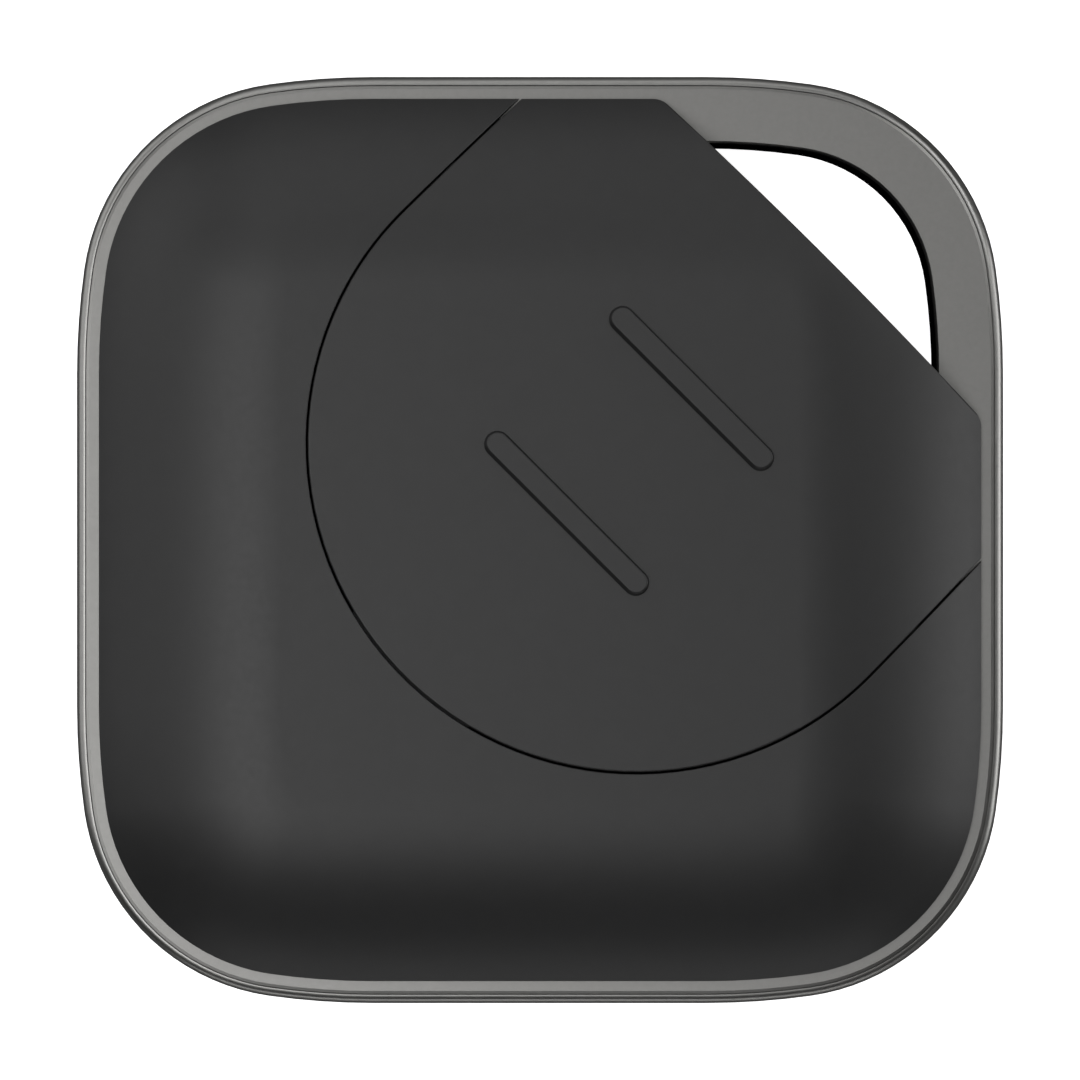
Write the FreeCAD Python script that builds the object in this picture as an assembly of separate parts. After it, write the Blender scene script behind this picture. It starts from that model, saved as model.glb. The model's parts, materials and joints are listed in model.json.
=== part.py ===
import FreeCAD, Part
import math
import os

# Square tracker tag, front face down. +Z points out of the back, +X and +Y run along its sides, and the
# origin is the middle of the front face. The key loop is in the +X +Y corner. All lengths in millimetres.

V = FreeCAD.Vector
OUT = V(0, 0, 1)
CENTRE = V(0, 0, 0)

# ---------------------------------------------------------------- driving dimensions
# outline: each corner is a tight arc between two wide flank arcs, and any inset keeps the same centres
HALF = 18.5              # half the width of the square
FLANK_R = 29.78          # wide arcs that ease each side into its corner
FLANK_DEG = 8.02         # angle that each wide arc turns
CORNER_R = 8.68          # tight arc between them
FLANK_SIN = math.sin(math.radians(FLANK_DEG))
FLANK_COS = math.cos(math.radians(FLANK_DEG))
CORNER_C = HALF - FLANK_R + (FLANK_R - CORNER_R) * FLANK_COS      # X and Y of the tight arc's centre
STRAIGHT = CORNER_C - (FLANK_R - CORNER_R) * FLANK_SIN            # half of each straight side

# levels, counted from the front face
FLOOR_Z = 0.8            # inner face of the front cover
BOARD_Z = 1.4            # underside of the circuit board
BOARD_T = 0.5
BOARD_PLAY = 0.15        # between the board and the front cover's wall
BOARD_TOP = BOARD_Z + BOARD_T
WALL_Z = 2.8             # top of the front cover's wall
GLUE_T = 0.1
GLUE_BACK = 0.2          # the adhesive film stops this far inside the plate's edges
PLATE_Z = WALL_Z + GLUE_T
PLATE_T = 0.6
RING_Z = PLATE_Z + PLATE_T          # flat back of the metal ring
BACK_Z = 6.5             # crown of the back
RIDGE_H = 0.22           # grip ridges stand above the crown

# pillow-shaped back
BODY_INSET = 0.93        # from the outline to the charcoal back
BODY_STEP = 0.3          # upright step where the back leaves the ring
PILLOW_W = 7.4           # width of the falling edge
PILLOW_DROP = BACK_Z - RING_Z - BODY_STEP
PILLOW_R = (PILLOW_W ** 2 + PILLOW_DROP ** 2) / (2 * PILLOW_DROP)
BACK_T = 0.9             # wall of the back housing and the door
EDGE_R = 0.04            # softened edges of the housing's seam, its rim and its cut-off corner

# key loop
DIAGONAL = 15.85         # from the middle to the cut-off corner of the body
LOOP_W = 2.64            # from the outline to the loop's hole
TIP_R = 0.85             # roundings at the two ends of the cut-off corner

# metal frame
BAND_Z = 0.74            # lower edge of the side band
BAND_T = 0.42            # thickness beside the front cover's wall
SHOULDER_R = 0.39        # rounded back edge of the band, which rises to the level of the ring
LIP_IN = 0.36            # the shoulder ends here, at a fine groove
BAND_CHAMFER = 0.07
PLATE_INSET = 0.365
PLATE_RIM = 1.7          # inner edge of the plate, under the back housing
PLATE_SLOPE_W = 0.09     # the plate's sloping outer edge is the groove's other side
PLATE_SLOPE_H = 0.045
HOLE_CHAMFER = 0.06

# front cover
FRONT_INSET = 0.1
FRONT_EDGE_R = 0.45
WALL_IN = 1.25           # inner face of the front cover's wall
DIAGONAL_WALL = 0.8

# sliding battery door: a disc with two straight sides that run square to its ridges
DOOR_C = 3.8             # X and Y of the disc's centre
DOOR_R = 12.98
SEAM = 0.075             # gap round the door
DOOR_EDGE_R = 0.09       # the door's own edge is softer than the housing's
DOOR_LIFT = 0.1          # the door's skirt clears the ring by this
JAMB_T = 1.2             # housing wall behind the seam
RIDGE_L = 8.75
RIDGE_TOP_W = 0.86
RIDGE_NEAR_SLOPE = 0.135            # plan width of the wall that the thumb pushes
RIDGE_FAR_SLOPE = 0.055             # plan width of the wall on the loop's side
RIDGE_EDGE_R = 0.07
RIDGE_SPOTS = (1.52, 8.465)          # along the slide direction
LUG_START = 0.2          # housing lugs, counted along the straight sides
LUG_L = 2.6
LUG_IN = 0.5
LUG_Z = 4.2
LUG_H = 0.5
LUG_PLAY = 0.06
TONGUE_W = 6.4
TONGUE_OUT = 0.6
TONGUE_T = 0.35
TONGUE_PLAY = 0.05
PAD_R = 6.5
PAD_T = 0.17

# coin cell, 20 mm across and 3.2 mm high
CELL_C = V(2.2, 2.2, 0)
CELL_R = 10.0
CELL_Z = 2.2
CELL_H = 3.2
CAN_T = 0.25
CAN_LIFT = 0.12          # the can's lower edge, above the face of the cap
CORE_STEP = 1.2          # height where the cell's contents widen from the cap to the can
CAP_R = 8.8
CRIMP_R = 9.3
CAN_EDGE_R = 0.35
STAMP_DEPTH = 0.06       # marks pressed into the top of the can
STAMP_SLOPE = 0.05       # width of their sloping walls
STAMP_RING = (8.55, 8.8)
PLUS_L = 3.2
PLUS_W = 0.5

# battery tray
WELL_R = 10.2
WELL_WALL = 0.6
WELL_TOP = 5.2
TRAY_IN = 1.75
TRAY_FOOT = 0.65
SKIRT_PLAY = 0.25        # between the well's wall and the door's skirts
PRY_W = 5.0              # notch where a fingernail lifts the cell

# screws
SCREW_AT = 13.6          # X and Y of the three corner screws
SCREW_R = 0.5
SCREW_TIP = 0.4
HEAD_R = 0.9
HEAD_T = 0.45
HEAD_EDGE_R = 0.15
CROSS_L = 1.0            # cross recess in the head
CROSS_W = 0.22
CROSS_DEPTH = 0.22
EAR_T = 0.6
BOSS_R = 1.2

# press button in the front face
BUTTON_R = 4.2
BUTTON_GAP = 0.08
BUTTON_EDGE_R = 0.15
BUTTON_SINK = 0.15       # the button lies this far inside the front face
FLANGE_R = 4.9
FLANGE_T = 0.15
SEAT_R = (5.05, 5.8)     # ring that the membrane is bonded to
MEMBRANE_T = 0.08
NUB_R = 1.2
NUB_H = 0.09
DOME_R = 2.5
DOME_H = 0.25
DOME_T = 0.06

# sounder
PIEZO_C = V(-8.5, -8.5, 0)
PIEZO_R = 5.85
CERAMIC_R = 4.2
PIEZO_GLUE_T = 0.05
PIEZO_T = 0.1
CERAMIC_T = 0.12


# ---------------------------------------------------------------- outline
def turned(point, quarter):
    """A point turned about the middle by a number of quarter turns."""
    for _ in range(quarter):
        point = V(-point.y, point.x, point.z)
    return point


def outline(inset, z):
    """Closed wire of the tag's outline, moved inwards by inset."""
    edges = []
    flank, corner = FLANK_R - inset, CORNER_R - inset
    half_turn = math.radians(FLANK_DEG / 2)
    low = V(HALF - FLANK_R, STRAIGHT, z)
    mid = V(CORNER_C, CORNER_C, z)
    high = V(STRAIGHT, HALF - FLANK_R, z)
    spots = [
        V(HALF - inset, -STRAIGHT, z),
        V(HALF - inset, STRAIGHT, z),
        low + V(math.cos(half_turn), math.sin(half_turn), 0) * flank,
        low + V(FLANK_COS, FLANK_SIN, 0) * flank,
        mid + V(math.sqrt(0.5), math.sqrt(0.5), 0) * corner,
        high + V(FLANK_SIN, FLANK_COS, 0) * flank,
        high + V(math.sin(half_turn), math.cos(half_turn), 0) * flank,
        V(STRAIGHT, HALF - inset, z),
    ]
    for quarter in range(4):
        p = [turned(spot, quarter) for spot in spots]
        edges.append(Part.LineSegment(p[0], p[1]).toShape())
        for first in (1, 3, 5):
            edges.append(Part.Arc(p[first], p[first + 1], p[first + 2]).toShape())
    return Part.Wire(edges)


def slab(inset, low, high):
    """Solid plate with the tag's outline between two levels."""
    return Part.Face(outline(inset, low)).extrude(OUT * (high - low))


def swept_round(section):
    """Sweeps a face in the XZ plane, drawn at the +X side, round the whole outline."""
    side = section.copy()
    side.translate(V(0, -STRAIGHT, 0))
    quarter = [side.extrude(V(0, 2 * STRAIGHT, 0))]
    arcs = [
        (V(HALF - FLANK_R, STRAIGHT, 0), FLANK_R, 0, FLANK_DEG),
        (V(CORNER_C, CORNER_C, 0), CORNER_R, FLANK_DEG, 90 - 2 * FLANK_DEG),
        (V(STRAIGHT, HALF - FLANK_R, 0), FLANK_R, 90 - FLANK_DEG, FLANK_DEG),
    ]
    for centre, radius, start, turn in arcs:
        face = section.copy()
        face.translate(V(centre.x + radius - HALF, centre.y, 0))
        face.rotate(centre, OUT, start)
        quarter.append(face.revolve(centre, OUT, turn))
    solids = []
    for turns in range(4):
        for solid in quarter:
            copy = solid.copy()
            copy.rotate(CENTRE, OUT, 90 * turns)
            solids.append(copy)
    return solids[0].multiFuse(solids[1:]).removeSplitter()


# ---------------------------------------------------------------- helpers
def diagonal_box(forward, side, low, high):
    """Box with its faces along the slide direction, from ranges along it, square to it and in height."""
    box = Part.makeBox(forward[1] - forward[0], side[1] - side[0], high - low)
    box.translate(V(forward[0], side[0], low))
    box.rotate(CENTRE, OUT, 45)
    return box


def beyond_diagonal(distance):
    """Everything on the loop's side of the cut-off corner."""
    return diagonal_box((distance, 2 * HALF), (-2 * HALF, 2 * HALF), -1, BACK_Z + 1)


def disc(radius, low, high, centre=CENTRE):
    return Part.makeCylinder(radius, high - low, V(centre.x, centre.y, low))


def tube(outer, inner, low, high, centre=CENTRE):
    return disc(outer, low, high, centre).cut(disc(inner, low - 1, high + 1, centre))


def block(size, centre, low):
    """Upright box with its middle at centre, standing on low."""
    return Part.makeBox(size[0], size[1], size[2], V(centre[0] - size[0] / 2, centre[1] - size[1] / 2, low))


def edges_at(solid, level, inside=None):
    """Edges that lie wholly at one level, optionally only those whose middle passes a test."""
    found = []
    for edge in solid.Edges:
        box = edge.BoundBox
        flat = abs(box.ZMin - level) < 1e-4 and abs(box.ZMax - level) < 1e-4
        if flat and (inside is None or inside(edge.CenterOfMass)):
            found.append(edge)
    return found


def sharp_edges_on(solid, skin):
    """Edges of a solid that lie on a skin and where its faces meet at an angle."""
    found = []
    for edge in solid.Edges:
        middle = edge.valueAt((edge.FirstParameter + edge.LastParameter) / 2)
        if Part.Vertex(middle).distToShape(skin)[0] > 1e-3:
            continue
        faces = solid.ancestorsOfType(edge, Part.Face)
        normals = [face.normalAt(*face.Surface.parameter(middle)) for face in faces]
        if len(normals) == 2 and normals[0].getAngle(normals[1]) > math.radians(15):
            found.append(edge)
    return found


# ---------------------------------------------------------------- shared shapes
def pillow(shrink):
    """Pillow-shaped back above the ring, shrunk by a wall thickness."""
    radius = PILLOW_R - shrink
    arc_x = HALF - BODY_INSET - PILLOW_W
    arc_z = BACK_Z - PILLOW_R
    edge_x = HALF - BODY_INSET - shrink
    edge_z = arc_z + math.sqrt(radius ** 2 - (edge_x - arc_x) ** 2)
    if edge_z <= RING_Z:
        edge_z = RING_Z
        edge_x = arc_x + math.sqrt(radius ** 2 - (RING_Z - arc_z) ** 2)
    lean = math.atan2(edge_x - arc_x, edge_z - arc_z)
    top = V(arc_x, 0, arc_z + radius)
    middle = V(arc_x + radius * math.sin(lean / 2), 0, arc_z + radius * math.cos(lean / 2))
    edge = V(edge_x, 0, edge_z)
    foot = V(arc_x, 0, RING_Z)
    sides = [
        Part.LineSegment(foot, top).toShape(),
        Part.Arc(top, middle, edge).toShape(),
    ]
    outer_foot = V(edge_x, 0, RING_Z)
    if edge_z > RING_Z:
        sides.append(Part.LineSegment(edge, outer_foot).toShape())
    sides.append(Part.LineSegment(outer_foot, foot).toShape())
    rim = swept_round(Part.Face(Part.Wire(sides)))
    core = slab(BODY_INSET + PILLOW_W, RING_Z, BACK_Z - shrink)
    return rim.fuse(core).removeSplitter()


def crown(outer):
    """The visible skin of the back: its faces that look upwards."""
    faces = []
    for face in outer.Faces:
        low, high, left, right = face.ParameterRange
        if face.normalAt((low + high) / 2, (left + right) / 2).z > 0.2:
            faces.append(face)
    return Part.Compound(faces)


def body_prism():
    """Plan of the charcoal back: the outline with one corner cut off, its two tips rounded."""
    prism = slab(BODY_INSET, RING_Z, BACK_Z + 1).cut(beyond_diagonal(DIAGONAL))
    tips = []
    for edge in prism.Edges:
        box = edge.BoundBox
        upright = box.ZLength > 1 and box.XLength + box.YLength < 1e-4
        if upright and abs(edge.CenterOfMass.x + edge.CenterOfMass.y - DIAGONAL * math.sqrt(2)) < 1e-3:
            tips.append(edge)
    return prism.makeFillet(TIP_R, tips)


def door_prism(radius, low, high):
    """Plan of the door: a disc that runs on towards the loop at its full width."""
    centre = V(DOOR_C, DOOR_C, 0)
    start = DOOR_C * math.sqrt(2)
    run = diagonal_box((start, 2 * HALF), (-radius, radius), low, high)
    return disc(radius, low, high, centre).fuse(run).removeSplitter()


def swept_well(radius, low, high):
    """Space that the well's wall sweeps in the door as the door slides off."""
    start = CELL_C.x * math.sqrt(2)
    run = diagonal_box((-2 * HALF, start), (-radius, radius), low, high)
    return disc(radius, low, high, CELL_C).fuse(run).removeSplitter()


def loop_hole(inset, distance):
    """Space of the key loop's hole."""
    return slab(inset, -1, BACK_Z + 1).common(beyond_diagonal(distance))


def screw_spots():
    """Middles of the three screws: every corner but the loop's."""
    return [turned(V(SCREW_AT, SCREW_AT, 0), quarter) for quarter in (1, 2, 3)]


def inner_slab(inset, distance, low, high):
    """Plate inside the body, cut off along the diagonal."""
    return slab(inset, low, high).cut(beyond_diagonal(distance))


# ---------------------------------------------------------------- metal frame
def frame_band():
    lean = math.asin((SHOULDER_R - LIP_IN) / SHOULDER_R)
    shoulder = V(HALF - SHOULDER_R, 0, RING_Z - SHOULDER_R)
    middle = (math.pi / 2 + lean) / 2
    p = {
        "foot_in": V(HALF - BAND_T, 0, BAND_Z),
        "foot_out": V(HALF - BAND_CHAMFER, 0, BAND_Z),
        "low_out": V(HALF, 0, BAND_Z + BAND_CHAMFER),
        "shoulder_low": shoulder + V(SHOULDER_R, 0, 0),
        "shoulder_mid": shoulder + V(math.sin(middle), 0, math.cos(middle)) * SHOULDER_R,
        "lip": shoulder + V(math.sin(lean), 0, math.cos(lean)) * SHOULDER_R,
        "ledge_out": V(HALF - LIP_IN, 0, PLATE_Z),
        "ledge_in": V(HALF - BAND_T, 0, PLATE_Z),
    }
    sides = [
        Part.LineSegment(p["foot_in"], p["foot_out"]),
        Part.LineSegment(p["foot_out"], p["low_out"]),
        Part.LineSegment(p["low_out"], p["shoulder_low"]),
        Part.Arc(p["shoulder_low"], p["shoulder_mid"], p["lip"]),
        Part.LineSegment(p["lip"], p["ledge_out"]),
        Part.LineSegment(p["ledge_out"], p["ledge_in"]),
        Part.LineSegment(p["ledge_in"], p["foot_in"]),
    ]
    wire = Part.Wire([side.toShape() for side in sides])
    return swept_round(Part.Face(wire))


def loop_plate():
    slope_z = RING_Z - PLATE_SLOPE_H
    slope_in = PLATE_INSET + PLATE_SLOPE_W
    slope = Part.makeLoft([outline(PLATE_INSET, slope_z), outline(slope_in, RING_Z)], True, True)
    plate = slab(PLATE_INSET, PLATE_Z, slope_z).fuse(slope)
    plate = plate.cut(inner_slab(PLATE_RIM, DIAGONAL - DIAGONAL_WALL, PLATE_Z - 1, RING_Z + 1))
    plate = plate.cut(loop_hole(LOOP_W, DIAGONAL))
    hole = edges_at(plate, RING_Z, on_loop_hole)
    return plate.makeChamfer(HOLE_CHAMFER, hole)


def on_loop_hole(point):
    """True for a point on the curved edge of the loop's hole."""
    past_diagonal = point.x + point.y > DIAGONAL * math.sqrt(2) + 0.01
    return past_diagonal and max(point.x, point.y) < HALF - LOOP_W + 0.01


def plate_adhesive():
    film = slab(PLATE_INSET + GLUE_BACK, WALL_Z, PLATE_Z)
    film = film.cut(inner_slab(WALL_IN, DIAGONAL - DIAGONAL_WALL, WALL_Z - 1, PLATE_Z + 1))
    return film.cut(loop_hole(LOOP_W - GLUE_BACK, DIAGONAL - GLUE_BACK / 2))


# ---------------------------------------------------------------- front
def front_cover():
    face = slab(FRONT_INSET, 0, BAND_Z)
    face = face.makeFillet(FRONT_EDGE_R, edges_at(face, 0))
    wall = slab(BAND_T, BAND_Z - 0.1, WALL_Z)
    cover = face.fuse(wall).removeSplitter()
    cover = cover.cut(inner_slab(WALL_IN, DIAGONAL - DIAGONAL_WALL, FLOOR_Z, WALL_Z + 1))
    cover = cover.cut(loop_hole(LOOP_W, DIAGONAL))
    cover = cover.cut(disc(BUTTON_R + BUTTON_GAP, -1, FLOOR_Z + 1))
    cover = cover.fuse(tube(SEAT_R[1], SEAT_R[0], FLOOR_Z, FLOOR_Z + FLANGE_T))
    for spot in screw_spots():
        cover = cover.fuse(disc(BOSS_R, FLOOR_Z, BOARD_Z, spot))
        cover = cover.cut(disc(SCREW_R, SCREW_TIP, BOARD_Z + 1, spot))
    return cover.removeSplitter()


def front_button():
    cap = disc(BUTTON_R, BUTTON_SINK, FLOOR_Z)
    cap = cap.makeFillet(BUTTON_EDGE_R, edges_at(cap, BUTTON_SINK))
    return cap.fuse(disc(FLANGE_R, FLOOR_Z, FLOOR_Z + FLANGE_T)).removeSplitter()


def button_membrane():
    base = FLOOR_Z + FLANGE_T
    sheet = disc(SEAT_R[1], base, base + MEMBRANE_T)
    return sheet.fuse(disc(NUB_R, base, base + MEMBRANE_T + NUB_H)).removeSplitter()


def snap_dome():
    """Shallow domed disc with its feet on the underside of the board."""
    def cap(radius, height, lift):
        sphere_r = (radius ** 2 + height ** 2) / (2 * height)
        ball = Part.makeSphere(sphere_r, V(0, 0, BOARD_Z - height + sphere_r + lift))
        return ball.common(disc(radius, BOARD_Z - height - 1, BOARD_Z))
    return cap(DOME_R, DOME_H, 0).cut(cap(DOME_R, DOME_H, DOME_T))


# ---------------------------------------------------------------- sounder
def piezo_levels():
    glue = FLOOR_Z + PIEZO_GLUE_T
    metal = glue + PIEZO_T
    return glue, metal, metal + CERAMIC_T


def piezo_adhesive():
    return tube(PIEZO_R, PIEZO_R - 1.0, FLOOR_Z, piezo_levels()[0], PIEZO_C)


def piezo_disc():
    return disc(PIEZO_R, piezo_levels()[0], piezo_levels()[1], PIEZO_C)


def piezo_ceramic():
    return disc(CERAMIC_R, piezo_levels()[1], piezo_levels()[2], PIEZO_C)


def piezo_contacts():
    """Two small leaf springs under the board, one on the ceramic and one on the brass rim."""
    width, foot_l, foot_t, toe_l, toe_t, gap = 0.8, 1.6, 0.1, 1.2, 0.08, 0.02
    springs = []
    for reach, level in ((2.0, piezo_levels()[2]), (5.1, piezo_levels()[1])):
        x, low = PIEZO_C.x + reach, level + gap
        foot = block((width, foot_l, foot_t), (x, PIEZO_C.y), BOARD_Z - foot_t)
        stem = block((width, foot_t, BOARD_Z - low), (x, PIEZO_C.y + (foot_l - foot_t) / 2), low)
        toe = block((width, toe_l, toe_t), (x, PIEZO_C.y + (foot_l - toe_l) / 2), low)
        springs.append(foot.multiFuse([stem, toe]).removeSplitter())
    return Part.makeCompound(springs)


# ---------------------------------------------------------------- circuit board
def circuit_board():
    board = inner_slab(WALL_IN + BOARD_PLAY, DIAGONAL - DIAGONAL_WALL - BOARD_PLAY, BOARD_Z, BOARD_TOP)
    for spot in screw_spots():
        board = board.cut(disc(SCREW_R + BOARD_PLAY, BOARD_Z - 1, BOARD_TOP + 1, spot))
    return board


# what stands on the back of the board, as middle and size
CHIPS = {
    "radio_chip": ((-12.4, -3.0), (5.0, 5.0, 0.8)),
    "main_crystal": ((-12.4, 1.6), (2.0, 1.6, 0.5)),
    "clock_crystal": ((-12.8, 4.6), (1.5, 3.2, 0.75)),
    "motion_sensor": ((-12.6, -7.9), (2.0, 2.0, 0.75)),
    "chip_antenna": ((-12.6, 9.2), (1.6, 3.2, 0.9)),
    "buzzer_driver": ((-6.6, -12.6), (2.9, 1.6, 0.85)),
    "boost_inductor": ((-2.2, -12.6), (3.0, 3.0, 0.9)),
    "bulk_capacitor": ((2.6, -12.9), (3.2, 1.6, 0.9)),
}
CHIP_CHAMFER = 0.08
CAPACITOR = (0.5, 1.0, 0.5)
RESISTOR = (0.5, 1.0, 0.35)
CAPACITOR_ROWS = (((-15.6, -4.6), (0, 1.6), 3), ((-9.6, -7.4), (0.9, 0), 2), ((6.0, -12.6), (1.2, 0), 3))
RESISTOR_ROWS = (((-15.6, 2.4), (0, 1.6), 3), ((-14.8, 7.0), (1.0, 0), 2), ((-9.4, -12.6), (0.9, 0), 2))


def chip(name):
    """Rectangular part with a slightly drawn-in top."""
    spot, size = CHIPS[name]
    body = block(size, spot, BOARD_TOP)
    return body.makeChamfer(CHIP_CHAMFER, edges_at(body, BOARD_TOP + size[2]))


def small_parts(rows, size):
    """Rows of identical surface-mounted parts."""
    solids = []
    for start, step, count in rows:
        for i in range(count):
            spot = (start[0] + step[0] * i, start[1] + step[1] * i)
            solids.append(block(size, spot, BOARD_TOP))
    return Part.makeCompound(solids)


# ---------------------------------------------------------------- coin cell
def cell_can():
    top = CELL_Z + CELL_H
    low = CELL_Z + CAN_LIFT
    can = disc(CELL_R, low, top, CELL_C)
    can = can.cut(tube(STAMP_RING[1], STAMP_RING[0], top - STAMP_DEPTH, top + 1, CELL_C))
    for size in ((PLUS_L, PLUS_W, 1), (PLUS_W, PLUS_L, 1)):
        can = can.cut(block(size, (CELL_C.x, CELL_C.y), top - STAMP_DEPTH))
    rim_length = 2 * math.pi * CELL_R
    marks = [edge for edge in edges_at(can, top) if edge.Length < rim_length - 1]
    can = can.makeChamfer(STAMP_SLOPE, marks)
    rim = [edge for edge in edges_at(can, top) if edge.Length > rim_length - 1]
    can = can.makeFillet(CAN_EDGE_R, rim)
    can = can.cut(disc(CELL_R - CAN_T, low + CAN_T, top - CAN_T, CELL_C))
    return can.cut(disc(CRIMP_R, CELL_Z, low + CAN_T, CELL_C)).removeSplitter()


def cell_cap():
    return disc(CAP_R, CELL_Z, CELL_Z + CAN_T, CELL_C)


def cell_gasket():
    seat = CELL_Z + CAN_LIFT + CAN_T
    low = tube(CRIMP_R, CAP_R, CELL_Z + CAN_LIFT, seat, CELL_C)
    high = tube(CELL_R - CAN_T, CAP_R, seat, CELL_Z + CORE_STEP, CELL_C)
    return low.fuse(high).removeSplitter()


def cell_core():
    """Lithium disc and cathode pellet inside the can, as one puck."""
    low = disc(CAP_R, CELL_Z + CAN_T, CELL_Z + CORE_STEP, CELL_C)
    high = disc(CELL_R - CAN_T, CELL_Z + CORE_STEP, CELL_Z + CELL_H - CAN_T, CELL_C)
    return low.fuse(high).removeSplitter()


# ---------------------------------------------------------------- contacts
CONTACT_W = 3.2          # width of the leaf on the side of the cell
CONTACT_T = 0.15
CONTACT_GAP = 0.03
CONTACT_DEPTH = 1.1
CONTACT_TOP = 4.9
CONTACT_LOW = 3.2        # lower end of the leg against the cell
CONTACT_FOOT = 0.6
CONTACT_SLOT = 0.2       # room each side of it in the tray
HUB_R = 1.6
HUB_T = 0.12
FINGER = (5.4, 1.3, 0.1)
FINGER_START = 0.6
FINGER_RISE = 1.6        # degrees


def positive_contact():
    """U-shaped leaf on the board, its inner leg against the side of the cell."""
    near = CELL_C.x * math.sqrt(2) + CELL_R + CONTACT_GAP
    far = near + CONTACT_DEPTH
    width = (-CONTACT_W / 2, CONTACT_W / 2)
    leaf = diagonal_box((near, near + CONTACT_T), width, CONTACT_LOW, CONTACT_TOP)
    bend = diagonal_box((near, far), width, CONTACT_TOP - CONTACT_T, CONTACT_TOP)
    stem = diagonal_box((far - CONTACT_T, far), width, BOARD_TOP, CONTACT_TOP)
    foot = diagonal_box((far - CONTACT_T, far + CONTACT_FOOT), width, BOARD_TOP, BOARD_TOP + CONTACT_T)
    spring = leaf.multiFuse([bend, stem, foot]).removeSplitter()
    bends = [
        edge
        for edge in spring.Edges
        if abs(edge.CenterOfMass.z - CONTACT_TOP) < 1e-4 and abs(edge.Length - CONTACT_W) < 1e-4
    ]
    return spring.makeFillet(CONTACT_T * 0.9, bends)


def negative_contact():
    """Three-finger spring under the middle of the cell."""
    hub = disc(HUB_R, BOARD_TOP, BOARD_TOP + HUB_T, CELL_C)
    fingers = []
    for i in range(3):
        finger = Part.makeBox(*FINGER, V(FINGER_START, -FINGER[1] / 2, 0))
        finger.rotate(CENTRE, V(0, 1, 0), -FINGER_RISE)
        finger.rotate(CENTRE, OUT, 120 * i + 30)
        finger.translate(CELL_C + V(0, 0, BOARD_TOP))
        fingers.append(finger)
    return hub.multiFuse(fingers).removeSplitter()


# ---------------------------------------------------------------- battery tray
def battery_tray():
    reach = DIAGONAL - DIAGONAL_WALL - 0.05
    deck = inner_slab(TRAY_IN, reach, PLATE_Z, RING_Z)
    foot = inner_slab(TRAY_IN, reach, BOARD_TOP, PLATE_Z)
    foot = foot.cut(inner_slab(TRAY_IN + TRAY_FOOT, reach - TRAY_FOOT, BOARD_TOP - 1, PLATE_Z + 1))
    wall = disc(WELL_R + WELL_WALL, BOARD_TOP, WELL_TOP, CELL_C).cut(beyond_diagonal(reach))
    tray = deck.multiFuse([foot, wall])
    for spot in screw_spots():
        tray = tray.fuse(disc(BOSS_R, BOARD_TOP, PLATE_Z, spot))
    tray = tray.cut(disc(WELL_R, BOARD_TOP - 1, WELL_TOP + 1, CELL_C))
    for spot in screw_spots():
        tray = tray.cut(disc(SCREW_R + 0.1, BOARD_TOP - 1, RING_Z + 1, spot))
        tray = tray.cut(disc(HEAD_R + 0.1, BOARD_TOP + EAR_T, RING_Z + 1, spot))
    near = CELL_C.x * math.sqrt(2) + CELL_R
    slot = (-CONTACT_W / 2 - CONTACT_SLOT, CONTACT_W / 2 + CONTACT_SLOT)
    slot_end = near + CONTACT_DEPTH + CONTACT_FOOT + 0.3
    tray = tray.cut(diagonal_box((near - 1, slot_end), slot, BOARD_TOP - 1, WELL_TOP + 1))
    pry = diagonal_box((CELL_C.x * math.sqrt(2) - PRY_W / 2, CELL_C.x * math.sqrt(2) + PRY_W / 2),
                       (WELL_R - 1, WELL_R + WELL_WALL + 1), RING_Z, WELL_TOP + 1)
    return tray.cut(pry).removeSplitter()


def tray_screws():
    screws = []
    for spot in screw_spots():
        top = BOARD_TOP + EAR_T
        shank = disc(SCREW_R, SCREW_TIP + 0.1, top, spot)
        head = disc(HEAD_R, top, top + HEAD_T, spot)
        head = head.makeFillet(HEAD_EDGE_R, edges_at(head, top + HEAD_T))
        cross = block((CROSS_L, CROSS_W, 1), (spot.x, spot.y), top + HEAD_T - CROSS_DEPTH)
        turned_cross = block((CROSS_W, CROSS_L, 1), (spot.x, spot.y), top + HEAD_T - CROSS_DEPTH)
        screws.append(shank.fuse(head).cut(cross).cut(turned_cross).removeSplitter())
    return Part.makeCompound(screws)


# ---------------------------------------------------------------- back housing and door
def tongue_space(reach, half_width, low, high):
    """Part of a ring round the door's disc, on the side away from the loop."""
    ring = disc(reach, low, high, V(DOOR_C, DOOR_C, 0))
    ring = ring.cut(disc(DOOR_R - 2, low - 1, high + 1, V(DOOR_C, DOOR_C, 0)))
    return ring.common(diagonal_box((-2 * HALF, 0), (-half_width, half_width), low - 1, high + 1))


def back_housing(outer, inner):
    cavity = inner.cut(door_prism(DOOR_R + SEAM / 2 + JAMB_T, RING_Z - 1, BACK_Z + 1))
    housing = outer.cut(cavity).cut(door_prism(DOOR_R + SEAM / 2, RING_Z - 1, BACK_Z + 1))
    tongue_low = BACK_Z - BACK_T - TONGUE_PLAY
    tongue_high = BACK_Z - BACK_T + TONGUE_T + TONGUE_PLAY
    slot = tongue_space(DOOR_R + TONGUE_OUT + 0.1, TONGUE_W / 2 + 0.1, tongue_low, tongue_high)
    housing = housing.cut(slot)
    well = disc(WELL_R + WELL_WALL + TONGUE_PLAY, RING_Z - 1, WELL_TOP + TONGUE_PLAY, CELL_C)
    housing = housing.cut(well)
    start = DOOR_C * math.sqrt(2) + LUG_START
    outer_face = DOOR_R + SEAM / 2
    for side in (-1, 1):
        reach = sorted((side * (outer_face + 0.3), side * (outer_face - LUG_IN)))
        housing = housing.fuse(diagonal_box((start, start + LUG_L), reach, LUG_Z, LUG_Z + LUG_H))
    housing = housing.removeSplitter()
    return housing.makeFillet(EDGE_R, sharp_edges_on(housing, crown(outer)))


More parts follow.
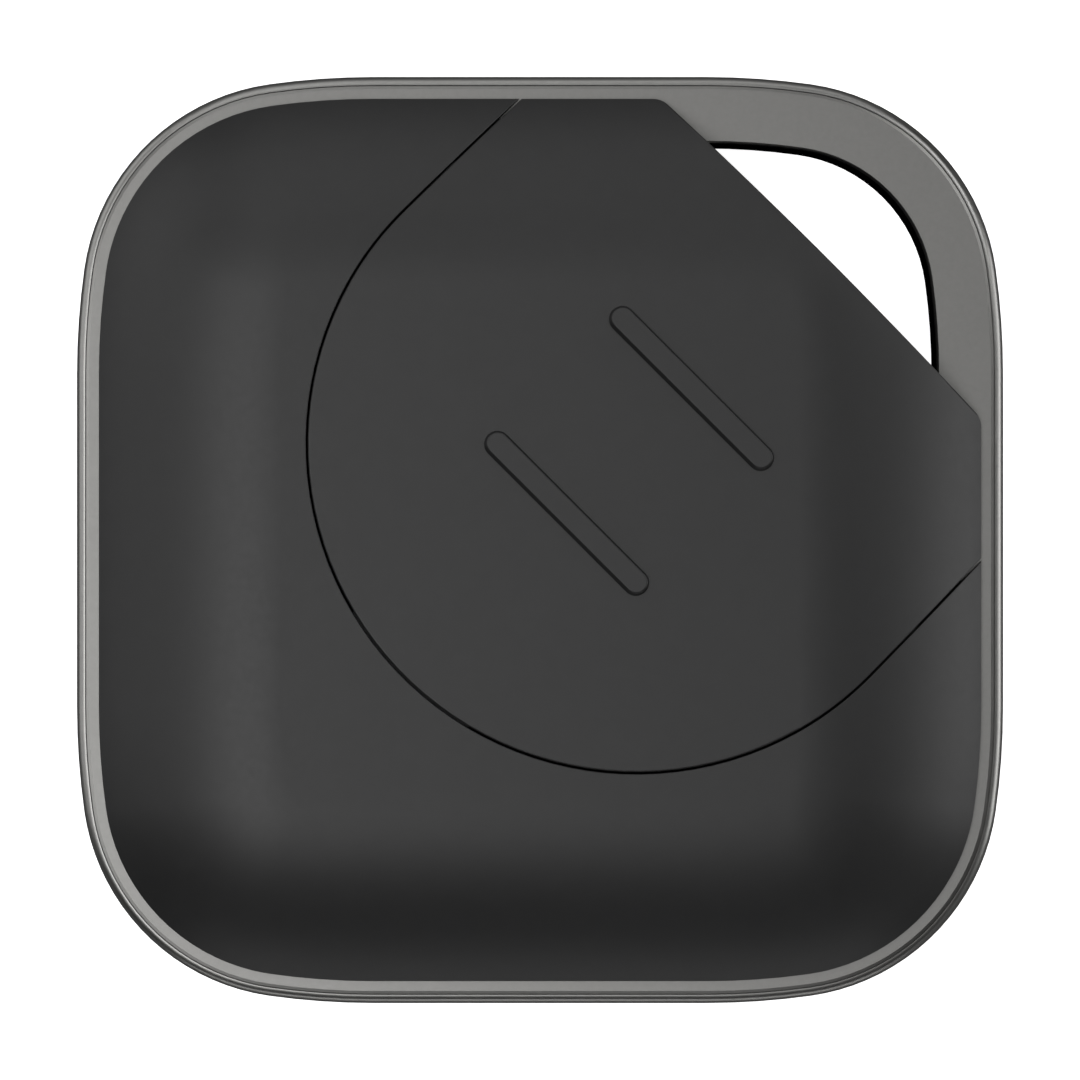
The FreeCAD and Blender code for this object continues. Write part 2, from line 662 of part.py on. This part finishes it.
def bar_outline(width, length, forward, z):
    """Closed outline of a bar with rounded ends, its middle moved along X."""
    radius = width / 2
    half = length / 2 - radius
    left, right = forward - radius, forward + radius
    edges = [
        Part.LineSegment(V(left, -half, z), V(left, half, z)).toShape(),
        Part.Arc(V(left, half, z), V(forward, half + radius, z), V(right, half, z)).toShape(),
        Part.LineSegment(V(right, half, z), V(right, -half, z)).toShape(),
        Part.Arc(V(right, -half, z), V(forward, -half - radius, z), V(left, -half, z)).toShape(),
    ]
    return Part.Wire(edges)


def ridge(forward):
    """Raised bar with rounded ends, square to the slide direction, steeper on the loop's side."""
    slopes = RIDGE_NEAR_SLOPE + RIDGE_FAR_SLOPE
    shift = (RIDGE_FAR_SLOPE - RIDGE_NEAR_SLOPE) / 2
    foot = bar_outline(RIDGE_TOP_W + slopes, RIDGE_L, shift, BACK_Z)
    top = bar_outline(RIDGE_TOP_W, RIDGE_L - slopes, 0, BACK_Z + RIDGE_H)
    solid = Part.makeLoft([foot, top], True, True)
    solid = solid.makeFillet(RIDGE_EDGE_R, edges_at(solid, BACK_Z + RIDGE_H))
    solid.translate(V(forward, 0, 0))
    solid.rotate(CENTRE, OUT, 45)
    return solid


def battery_door(outer, inner):
    radius = DOOR_R - SEAM / 2
    door = outer.common(door_prism(radius, RING_Z + DOOR_LIFT, BACK_Z + 1))
    hollow = inner.common(swept_well(WELL_R + WELL_WALL + SKIRT_PLAY, RING_Z - 1, BACK_Z + 1))
    pocket = inner.common(door_prism(radius - BACK_T, RING_Z - 1, BACK_Z + 1))
    pocket = pocket.cut(beyond_diagonal(DIAGONAL - BACK_T))
    door = door.cut(hollow).cut(pocket)
    tongue = tongue_space(DOOR_R + TONGUE_OUT, TONGUE_W / 2, BACK_Z - BACK_T, BACK_Z - BACK_T + TONGUE_T)
    door = door.fuse(tongue)
    groove_end = DOOR_C * math.sqrt(2) + LUG_START + LUG_L + LUG_PLAY
    for side in (-1, 1):
        reach = sorted((side * (DOOR_R + 1), side * (DOOR_R + SEAM / 2 - LUG_IN - LUG_PLAY)))
        door = door.cut(diagonal_box((-HALF, groove_end), reach, LUG_Z - LUG_PLAY, LUG_Z + LUG_H + LUG_PLAY))
    door = door.removeSplitter()
    door = door.makeFillet(DOOR_EDGE_R, sharp_edges_on(door, crown(outer)))
    for forward in RIDGE_SPOTS:
        door = door.fuse(ridge(forward))
    return door.removeSplitter()


def door_pad():
    under = BACK_Z - BACK_T
    return disc(PAD_R, under - PAD_T, under, CELL_C)


# ---------------------------------------------------------------- write the parts
def write(name, shape):
    shape.exportStep(os.path.join("parts", name + ".step"))
    box = shape.BoundBox
    print(f"{name:18s} solids {len(shape.Solids)} valid {shape.isValid()} volume {shape.Volume:9.3f} "
          f"z {box.ZMin:.2f}..{box.ZMax:.2f}")


def main():
    os.makedirs("parts", exist_ok=True)
    prism = body_prism()
    outer = pillow(0).common(prism)
    inner = pillow(BACK_T)
    write("back_housing", back_housing(outer, inner))
    write("battery_door", battery_door(outer, inner))
    for make in (
        frame_band, loop_plate, plate_adhesive, front_cover, front_button, button_membrane, snap_dome,
        piezo_adhesive, piezo_disc, piezo_ceramic, piezo_contacts, circuit_board,
        cell_can, cell_cap, cell_gasket, cell_core, positive_contact, negative_contact,
        battery_tray, tray_screws, door_pad,
    ):
        write(make.__name__, make())
    for name in CHIPS:
        write(name, chip(name))
    write("capacitors", small_parts(CAPACITOR_ROWS, CAPACITOR))
    write("resistors", small_parts(RESISTOR_ROWS, RESISTOR))


main()
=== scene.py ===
import bmesh
import bpy
import json
import math
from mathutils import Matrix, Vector


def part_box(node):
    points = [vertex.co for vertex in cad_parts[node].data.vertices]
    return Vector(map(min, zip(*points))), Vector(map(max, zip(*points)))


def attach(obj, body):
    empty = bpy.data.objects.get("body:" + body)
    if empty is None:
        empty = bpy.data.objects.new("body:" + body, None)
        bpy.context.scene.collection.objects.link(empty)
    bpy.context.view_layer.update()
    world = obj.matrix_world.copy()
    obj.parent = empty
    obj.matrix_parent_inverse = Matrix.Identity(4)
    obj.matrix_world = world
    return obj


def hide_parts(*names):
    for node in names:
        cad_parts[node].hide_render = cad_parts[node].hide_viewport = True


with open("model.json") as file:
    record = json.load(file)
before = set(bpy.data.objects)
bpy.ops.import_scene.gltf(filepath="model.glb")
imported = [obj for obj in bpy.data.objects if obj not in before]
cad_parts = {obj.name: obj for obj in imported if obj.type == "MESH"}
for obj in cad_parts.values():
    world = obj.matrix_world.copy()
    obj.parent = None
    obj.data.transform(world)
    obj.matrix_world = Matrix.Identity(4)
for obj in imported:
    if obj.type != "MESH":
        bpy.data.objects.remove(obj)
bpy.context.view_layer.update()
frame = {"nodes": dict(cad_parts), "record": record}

# Square tracker tag, lying on its front face with the back up. Everything is in metres, in the CAD's own
# frame: +X and +Y along the sides, +Z out of the back, the key loop in the +X +Y corner.

MM = 0.001
UP = Vector((0, 0, 1))

# ---------------------------------------------------------------- sizes
# outline of the tag: each corner is a tight arc between two wide flank arcs
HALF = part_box("frame_band")[1].x
FLANK_R = 29.78 * MM
FLANK_TURN = math.radians(8.02)
CORNER_R = 8.68 * MM
CORNER_C = HALF - FLANK_R + (FLANK_R - CORNER_R) * math.cos(FLANK_TURN)
STRAIGHT = CORNER_C - (FLANK_R - CORNER_R) * math.sin(FLANK_TURN)

RING_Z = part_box("loop_plate")[1].z
BACK_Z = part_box("back_housing")[1].z

# arcs in the section of the swept parts, as (inset of the centre, height of the centre, radius)
BODY_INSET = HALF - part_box("back_housing")[1].x
BODY_STEP = 0.3 * MM     # upright edge of the body, between the ring and the pillow
PILLOW_W = 7.4 * MM
PILLOW_DROP = BACK_Z - RING_Z - BODY_STEP
PILLOW_R = (PILLOW_W ** 2 + PILLOW_DROP ** 2) / (2 * PILLOW_DROP)
PILLOW_ARC = (BODY_INSET + PILLOW_W, BACK_Z - PILLOW_R, PILLOW_R)
SHOULDER_R = 0.39 * MM
SHOULDER_ARC = (SHOULDER_R, RING_Z - SHOULDER_R, SHOULDER_R)
FRONT_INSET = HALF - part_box("front_cover")[1].x
FRONT_EDGE_R = 0.45 * MM
FRONT_ARC = (FRONT_INSET + FRONT_EDGE_R, FRONT_EDGE_R, FRONT_EDGE_R)

# shading of the swept parts
ON_SURFACE = 0.012 * MM  # the CAD mesh stays within this of its true surface
JOIN_WITHIN = 0.0005 * MM  # facet corners nearer than this are one point
ALONG_OUTLINE = 0.08     # a swept polygon's normal leans no more than this along the outline
SAME_WAY = 0.9           # least cosine between a polygon's normal and the arc's

# camera, straight above
CAMERA_UP = 216 * MM     # above the metal ring
VIEW_W = 43.07 * MM      # width that the picture shows at the ring
SENSOR = 36.0            # camera sensor, in millimetres

# studio
LIGHT_DISTANCE = 0.5     # from the tag to each soft panel
FLOOR_R = 1.3
FLOOR_RIM = 0.16         # radius of its raised edge
FLOOR_GAP = 0.01 * MM    # between the floor and the tag
FLOOR_GLOW = 0.97        # emission that makes it evenly white
RIM_STEPS = 24
TURN_STEPS = 96

# faint light from all round, by height, which is the Z of a direction
AIR_LIGHT = 0.02
TABLE_LIGHT = 0.16       # below the horizon, from the table round the tag
TABLE_FADE = 0.1         # it changes to AIR_LIGHT from this far below the horizon to this far above
SHADOW_FROM = -0.7       # no light from below this, straight under the tag
SHADOW_TO = -0.45        # all of the table's light from above this


# ---------------------------------------------------------------- outline and exact shading
def outline_at(x, y):
    """How far a point is inside the outline, and the way out of it there."""
    along, across = abs(x), abs(y)
    turned = across > along
    if turned:
        along, across = across, along
    inset, way = HALF - along, (1.0, 0.0)
    if across > STRAIGHT:
        centre, radius = (HALF - FLANK_R, STRAIGHT), FLANK_R
        if math.atan2(across - centre[1], along - centre[0]) > FLANK_TURN:
            centre, radius = (CORNER_C, CORNER_C), CORNER_R
        reach = math.hypot(along - centre[0], across - centre[1])
        inset = radius - reach
        way = ((along - centre[0]) / reach, (across - centre[1]) / reach)
    if turned:
        way = (way[1], way[0])
    return inset, Vector((math.copysign(way[0], x), math.copysign(way[1], y), 0))


def follows_outline(points, normal, outward):
    """True if a flat polygon belongs to a surface that is swept round the outline."""
    if abs(normal.dot(outward.cross(UP))) > ALONG_OUTLINE:
        return False
    slope = normal.dot(outward)
    level = [normal.z * point.z - slope * outline_at(point.x, point.y)[0] for point in points]
    return max(level) - min(level) < ON_SURFACE * 2


def arc_under(points, normal, arcs):
    """The section's arc that all corners of a polygon lie on, or None."""
    spots = [(*outline_at(point.x, point.y), point.z) for point in points]
    innermost = max(inset for inset, _, _ in spots)
    for arc in arcs:
        centre_in, centre_z, radius = arc
        ways = [outward * (centre_in - inset) + UP * (z - centre_z) for inset, outward, z in spots]
        on_arc = all(abs(way.length - radius) < ON_SURFACE for way in ways)
        facing = all(way.normalized().dot(normal) > SAME_WAY for way in ways)
        if on_arc and facing and innermost < centre_in + ON_SURFACE:
            return arc
    return None


def swept_copy(node, name, arcs):
    """Copy of a CAD node in one closed mesh, shaded by its true section and not by its facets."""
    mesh = frame["nodes"][node].data.copy()
    mesh.name = name
    keep = mesh.attributes.new("kept_normal", "FLOAT_VECTOR", "CORNER")
    for index, corner in enumerate(mesh.corner_normals):
        keep.data[index].vector = corner.vector
    joined = bmesh.new()
    joined.from_mesh(mesh)
    bmesh.ops.remove_doubles(joined, verts=joined.verts, dist=JOIN_WITHIN)
    joined.to_mesh(mesh)
    joined.free()

    kept = mesh.attributes["kept_normal"]
    normals = [Vector(corner.vector) for corner in kept.data]
    for polygon in mesh.polygons:
        points = [mesh.vertices[index].co for index in polygon.vertices]
        outward = outline_at(polygon.center.x, polygon.center.y)[1]
        arc = arc_under(points, polygon.normal, arcs)
        if arc is None and not follows_outline(points, polygon.normal, outward):
            continue
        slope = polygon.normal.dot(outward)
        for corner, point in zip(polygon.loop_indices, points):
            inset, way_out = outline_at(point.x, point.y)
            if arc is None:
                normal = way_out * slope + UP * polygon.normal.z
            else:
                normal = way_out * (arc[0] - inset) + UP * (point.z - arc[1])
            normals[corner] = normal.normalized()
    mesh.attributes.remove(kept)
    mesh.shade_smooth()
    mesh.normals_split_custom_set(normals)

    piece = bpy.data.objects.new(name, mesh)
    bpy.context.scene.collection.objects.link(piece)
    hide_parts(node)
    return piece


# ---------------------------------------------------------------- node helpers
def add(tree, kind, inputs=None, **settings):
    """New shader node. Inputs are values, or sockets to link."""
    node = tree.nodes.new(kind)
    for key, value in settings.items():
        setattr(node, key, value)
    for key, value in (inputs or {}).items():
        if isinstance(value, bpy.types.NodeSocket):
            tree.links.new(value, node.inputs[key])
        else:
            node.inputs[key].default_value = value
    return node


def shader(name, colour, roughness, metallic=0.0, **more):
    """New material with one Principled shader. Its uniform values are on its own sockets."""
    material = bpy.data.materials.new(name)
    material.use_nodes = True
    tree = material.node_tree
    tree.nodes.clear()
    surface = add(tree, "ShaderNodeBsdfPrincipled", {
        "Base Color": (*colour, 1), "Roughness": roughness, "Metallic": metallic, **more,
    })
    add(tree, "ShaderNodeOutputMaterial", {"Surface": surface.outputs["BSDF"]})
    return material, tree, surface


def place(tree, size, stretch=(1, 1, 1), turn=0.0):
    """Object coordinates counted in units of one size, stretched and turned about Z."""
    where = add(tree, "ShaderNodeTexCoord").outputs["Object"]
    scale = [1 / (size * factor) for factor in stretch]
    return add(tree, "ShaderNodeMapping", {
        "Vector": where, "Scale": scale, "Rotation": (0, 0, turn),
    }, vector_type="POINT").outputs["Vector"]


def noise(tree, size, detail=2.0, stretch=(1, 1, 1), turn=0.0):
    """Soft random pattern from 0 to 1 whose spots are about one size across."""
    return add(tree, "ShaderNodeTexNoise", {
        "Vector": place(tree, size, stretch, turn), "Scale": 1.0, "Detail": detail, "Roughness": 0.55,
    }).outputs["Fac"]


def cells(tree, size):
    """Pattern of round cells about one size across, dark in their middles."""
    return add(tree, "ShaderNodeTexVoronoi", {"Vector": place(tree, size), "Scale": 1.0}).outputs["Distance"]


def between(tree, factor, low, high, start=0.3, end=0.7):
    """A number from low to high as a pattern goes from start to end."""
    return add(tree, "ShaderNodeMapRange", {
        "Value": factor, "From Min": start, "From Max": end, "To Min": low, "To Max": high,
    }).outputs["Result"]


def tinted(tree, surface, factor, colour, spread):
    """Lets a pattern make the surface's colour a little darker and lighter."""
    mix = add(tree, "ShaderNodeMix", {"Factor": between(tree, factor, 0, 1)}, data_type="RGBA")
    mix.inputs["A"].default_value = (*[c * (1 - spread) for c in colour], 1)
    mix.inputs["B"].default_value = (*[c * (1 + spread) for c in colour], 1)
    tree.links.new(mix.outputs["Result"], surface.inputs["Base Color"])


def bumped(tree, surface, *layers):
    """Adds height patterns, each a (pattern, depth in metres)."""
    normal = None
    for pattern, depth in layers:
        inputs = {"Height": pattern, "Distance": depth, "Strength": 1.0}
        if normal:
            inputs["Normal"] = normal
        normal = add(tree, "ShaderNodeBump", inputs).outputs["Normal"]
    tree.links.new(normal, surface.inputs["Normal"])


# ---------------------------------------------------------------- materials
def moulded(name, colour, roughness, grain=0.1 * MM, depth=0.0012 * MM):
    """Moulded plastic, epoxy or rubber: a fine grain with slightly uneven colour and gloss."""
    material, tree, surface = shader(name, colour, roughness)
    tinted(tree, surface, noise(tree, grain * 9, 3.0), colour, 0.08)
    gloss = between(tree, noise(tree, grain * 3, 4.0), roughness - 0.02, roughness + 0.02)
    tree.links.new(gloss, surface.inputs["Roughness"])
    bumped(tree, surface, (noise(tree, grain, 3.0), depth))
    return material


def blasted(name, colour, roughness):
    """Bead-blasted and anodised metal."""
    material, tree, surface = shader(name, colour, roughness, 1.0)
    tinted(tree, surface, noise(tree, 0.2 * MM, 4.0), colour, 0.03)
    gloss = between(tree, noise(tree, 0.3 * MM, 5.0), roughness - 0.015, roughness + 0.015)
    tree.links.new(gloss, surface.inputs["Roughness"])
    bumped(tree, surface, (noise(tree, 0.09 * MM, 2.0), 0.0006 * MM))
    return material


def brushed(name, colour, roughness, turn=0.0, depth=0.0006 * MM):
    """Rolled or brushed metal: fine lines, with slightly uneven colour and gloss."""
    material, tree, surface = shader(name, colour, roughness, 1.0)
    lines = noise(tree, 0.05 * MM, 3.0, (60, 1, 1), turn)
    tinted(tree, surface, noise(tree, 0.12 * MM, 3.0, (30, 1, 1), turn), colour, 0.06)
    gloss = between(tree, noise(tree, 1.1 * MM, 2.0), roughness - 0.03, roughness + 0.03)
    tree.links.new(gloss, surface.inputs["Roughness"])
    bumped(tree, surface, (lines, depth))
    return material


def fired(name, colour, roughness):
    """Fired or pressed ceramic with a speckle."""
    material, tree, surface = shader(name, colour, roughness)
    speck = 0.08 * MM
    tinted(tree, surface, cells(tree, speck), colour, 0.16)
    bumped(tree, surface, (noise(tree, speck, 3.0), 0.002 * MM))
    return material


def gloss_front(name, colour):
    """Polished black moulding: a barely uneven surface with faint rubbing marks."""
    material, tree, surface = shader(name, colour, 0.16, **{"IOR": 1.49})
    tinted(tree, surface, noise(tree, 2.5 * MM, 3.0), colour, 0.1)
    rub = noise(tree, 0.16 * MM, 4.0, (22, 1, 1), math.radians(38))
    tree.links.new(between(tree, rub, 0.13, 0.2), surface.inputs["Roughness"])
    waves = noise(tree, 1.4 * MM, 1.0)
    haze = noise(tree, 0.08 * MM, 2.0)
    bumped(tree, surface, (waves, 0.0016 * MM), (haze, 0.0002 * MM))
    return material


def foam_pad(name, colour):
    """Closed-cell foam: dented pores, with painted shade darkening their middles and their rims lighter."""
    material, tree, surface = shader(name, colour, 0.9, **{"Sheen Weight": 0.2})
    pores_and_painted_shade = cells(tree, 0.16 * MM)
    # painted shade: the colour is darker in the pores' dented middles and lighter at their rims
    tinted(tree, surface, pores_and_painted_shade, colour, 0.35)
    bumped(tree, surface, (pores_and_painted_shade, 0.02 * MM))
    return material


def solder_mask(name, colour):
    """Lacquer over glass cloth, whose weave shows through."""
    material, tree, surface = shader(name, colour, 0.3, **{"Coat Weight": 0.5, "Coat Roughness": 0.12})
    warp = noise(tree, 0.25 * MM, 1.0, (6, 1, 1))
    weft = noise(tree, 0.25 * MM, 1.0, (1, 6, 1))
    tinted(tree, surface, warp, colour, 0.25)
    bumped(tree, surface, (warp, 0.002 * MM), (weft, 0.002 * MM))
    return material


CHARCOAL = (0.0115, 0.0115, 0.0117)
GUNMETAL = (0.215, 0.213, 0.206)
BAND_METAL = (0.29, 0.288, 0.279)
MATERIALS = {
    "front_black": gloss_front("front_black", (0.003, 0.003, 0.0032)),
    "gunmetal": blasted("gunmetal", GUNMETAL, 0.34),
    "band_metal": blasted("band_metal", BAND_METAL, 0.33),
    "adhesive_film": moulded("adhesive_film", (0.02, 0.02, 0.02), 0.7),
    "charcoal_plastic": moulded("charcoal_plastic", CHARCOAL, 0.44, 0.085 * MM, 0.0007 * MM),
    "foam": foam_pad("foam", (0.03, 0.03, 0.033)),
    "tray_plastic": moulded("tray_plastic", (0.012, 0.012, 0.013), 0.5, 0.13 * MM, 0.002 * MM),
    "screw_steel": brushed("screw_steel", (0.55, 0.55, 0.56), 0.3),
    "board": solder_mask("board", (0.01, 0.06, 0.03)),
    "cell_steel": brushed("cell_steel", (0.43, 0.425, 0.41), 0.3, math.radians(20), 0.0003 * MM),
    "cell_seal": moulded("cell_seal", (0.5, 0.5, 0.47), 0.5),
    "cell_pellet": fired("cell_pellet", (0.03, 0.03, 0.03), 0.8),
    "gold_spring": brushed("gold_spring", (0.87, 0.62, 0.28), 0.22, math.radians(45), 0.0004 * MM),
    "chip_epoxy": moulded("chip_epoxy", (0.014, 0.014, 0.014), 0.55, 0.06 * MM),
    "crystal_can": brushed("crystal_can", (0.6, 0.6, 0.58), 0.28),
    "antenna_ceramic": fired("antenna_ceramic", (0.55, 0.62, 0.66), 0.4),
    "ferrite": fired("ferrite", (0.05, 0.05, 0.055), 0.5),
    "capacitor_ceramic": fired("capacitor_ceramic", (0.35, 0.24, 0.14), 0.45),
    "resistor_ceramic": fired("resistor_ceramic", (0.03, 0.03, 0.035), 0.35),
    "piezo_brass": brushed("piezo_brass", (0.8, 0.6, 0.3), 0.3),
    "piezo_ceramic": fired("piezo_ceramic", (0.7, 0.7, 0.66), 0.4),
    "silicone": moulded("silicone", (0.05, 0.05, 0.055), 0.65),
    "dome_steel": brushed("dome_steel", (0.6, 0.6, 0.6), 0.25),
}


def coat(piece, slot):
    """Gives a piece, or a CAD node, one finish all over."""
    piece.data.materials.clear()
    piece.data.materials.append(MATERIALS[slot])
    for polygon in piece.data.polygons:
        polygon.material_index = 0


# ---------------------------------------------------------------- pieces
# node: its new name, its body, and the arcs in its section
SWEPT = {
    "back_housing": ("back_shell", "tag", [PILLOW_ARC]),
    "battery_door": ("door_shell", "door", [PILLOW_ARC]),
    "frame_band": ("side_band", "tag", [SHOULDER_ARC]),
    "loop_plate": ("ring_plate", "tag", []),
    "front_cover": ("front_shell", "tag", [FRONT_ARC]),
}


def make_pieces():
    """Gives every node its finish, and puts the swept copies in place of the outer shells."""
    slots = {row["node"]: row["material_slot"] for row in frame["record"]["subparts"]}
    for node, thing in frame["nodes"].items():
        coat(thing, slots[node])
    for node, (name, body, arcs) in SWEPT.items():
        piece = swept_copy(node, name, arcs)
        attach(piece, body)
        coat(piece, slots[node])


# ---------------------------------------------------------------- studio
def studio_floor():
    """Round white floor whose far edge curves up, so that it is also the backdrop."""
    mesh = bpy.data.meshes.new("studio_floor")
    build = bmesh.new()
    turns = [math.radians(90 * step / RIM_STEPS) for step in range(RIM_STEPS + 1)]
    profile = [(0.0, -FLOOR_GAP)]
    for turn in turns:
        profile.append((FLOOR_R + FLOOR_RIM * math.sin(turn), FLOOR_RIM * (1 - math.cos(turn)) - FLOOR_GAP))
    points = [build.verts.new((x, 0, z)) for x, z in profile]
    edges = [build.edges.new(pair) for pair in zip(points, points[1:])]
    bmesh.ops.spin(build, geom=points + edges, axis=UP, cent=(0, 0, 0), steps=TURN_STEPS, angle=math.tau)
    bmesh.ops.remove_doubles(build, verts=build.verts, dist=0.001 * MM)
    bmesh.ops.recalc_face_normals(build, faces=build.faces)
    build.to_mesh(mesh)
    build.free()
    mesh.shade_smooth()
    floor = bpy.data.objects.new("studio_floor", mesh)
    bpy.context.scene.collection.objects.link(floor)
    white = shader("studio_white", (0.9, 0.9, 0.9), 0.9, **{
        "Emission Color": (1, 1, 1, 1), "Emission Strength": FLOOR_GLOW, "Specular IOR Level": 0.0,
    })
    mesh.materials.append(white[0])
    floor.visible_diffuse = False
    floor.visible_glossy = False
    floor.visible_shadow = False


def softbox(name, azimuth, elevation, width, height, radiance):
    """Soft panel that faces the tag, placed and sized in degrees as the tag sees it."""
    light = bpy.data.lights.new(name, "AREA")
    light.shape = "RECTANGLE"
    light.size = 2 * LIGHT_DISTANCE * math.tan(math.radians(width / 2))
    light.size_y = 2 * LIGHT_DISTANCE * math.tan(math.radians(height / 2))
    light.energy = radiance * math.pi * light.size * light.size_y
    panel = bpy.data.objects.new(name, light)
    around, lift = math.radians(azimuth), math.radians(elevation)
    way = Vector((math.cos(around) * math.cos(lift), math.sin(around) * math.cos(lift), math.sin(lift)))
    panel.location = way * LIGHT_DISTANCE
    panel.rotation_euler = way.to_track_quat("Z", "Y").to_euler()
    panel.visible_camera = False
    bpy.context.scene.collection.objects.link(panel)


def studio_lights():
    """Soft panels all round, brightest over the left side and on the right."""
    softbox("overhead", 0, 90, 20, 20, 1.15)
    softbox("overhead_left", 202, 70, 36, 20, 3.5)
    softbox("overhead_near", 270, 70, 20, 20, 0.85)
    softbox("overhead_far", 112, 70, 34, 20, 0.45)
    softbox("high_right", 36, 50, 26, 20, 3.1)
    softbox("high_far", 108, 50, 26, 20, 1.5)
    softbox("high_left", 180, 50, 26, 20, 1.0)
    softbox("right", 0, 30, 28, 20, 1.6)
    softbox("far", 90, 30, 50, 20, 1.05)
    softbox("left", 158, 30, 60, 20, 1.15)
    softbox("low_right", 0, 11, 32, 18, 3.1)
    softbox("low_left", 158, 11, 60, 18, 1.1)
    softbox("low_near", 270, 8, 64, 12, 1.7)
    softbox("low_far", 90, 11, 50, 18, 0.35)
    softbox("corner_fill", 315, 20, 40, 20, 0.18)


def studio_air():
    """Faint light from all round, brighter from the table round the tag but not from under it."""
    world = bpy.data.worlds.new("studio_air")
    bpy.context.scene.world = world
    world.use_nodes = True
    tree = world.node_tree
    way = add(tree, "ShaderNodeTexCoord").outputs["Generated"]
    height = add(tree, "ShaderNodeSeparateXYZ", {"Vector": way}).outputs["Z"]
    table = between(tree, height, TABLE_LIGHT, AIR_LIGHT, -TABLE_FADE, TABLE_FADE)
    shadow = between(tree, height, 0.0, 1.0, SHADOW_FROM, SHADOW_TO)
    strength = add(tree, "ShaderNodeMath", {0: table, 1: shadow}, operation="MULTIPLY")
    air = tree.nodes["Background"]
    tree.links.new(strength.outputs["Value"], air.inputs["Strength"])
    air.inputs["Color"].default_value = (1, 1, 1, 1)


def camera_above():
    """Camera straight above the middle of the tag, with +Y up in the picture."""
    lens = bpy.data.cameras.new("camera")
    lens.sensor_width = SENSOR
    lens.lens = SENSOR * CAMERA_UP / VIEW_W
    lens.clip_start = 0.01
    lens.clip_end = 10
    camera = bpy.data.objects.new("camera", lens)
    camera.location = (0, 0, RING_Z + CAMERA_UP)
    bpy.context.scene.collection.objects.link(camera)
    bpy.context.scene.camera = camera


make_pieces()
studio_floor()
studio_lights()
studio_air()
camera_above()
bpy.context.scene.view_settings.view_transform = "Standard"
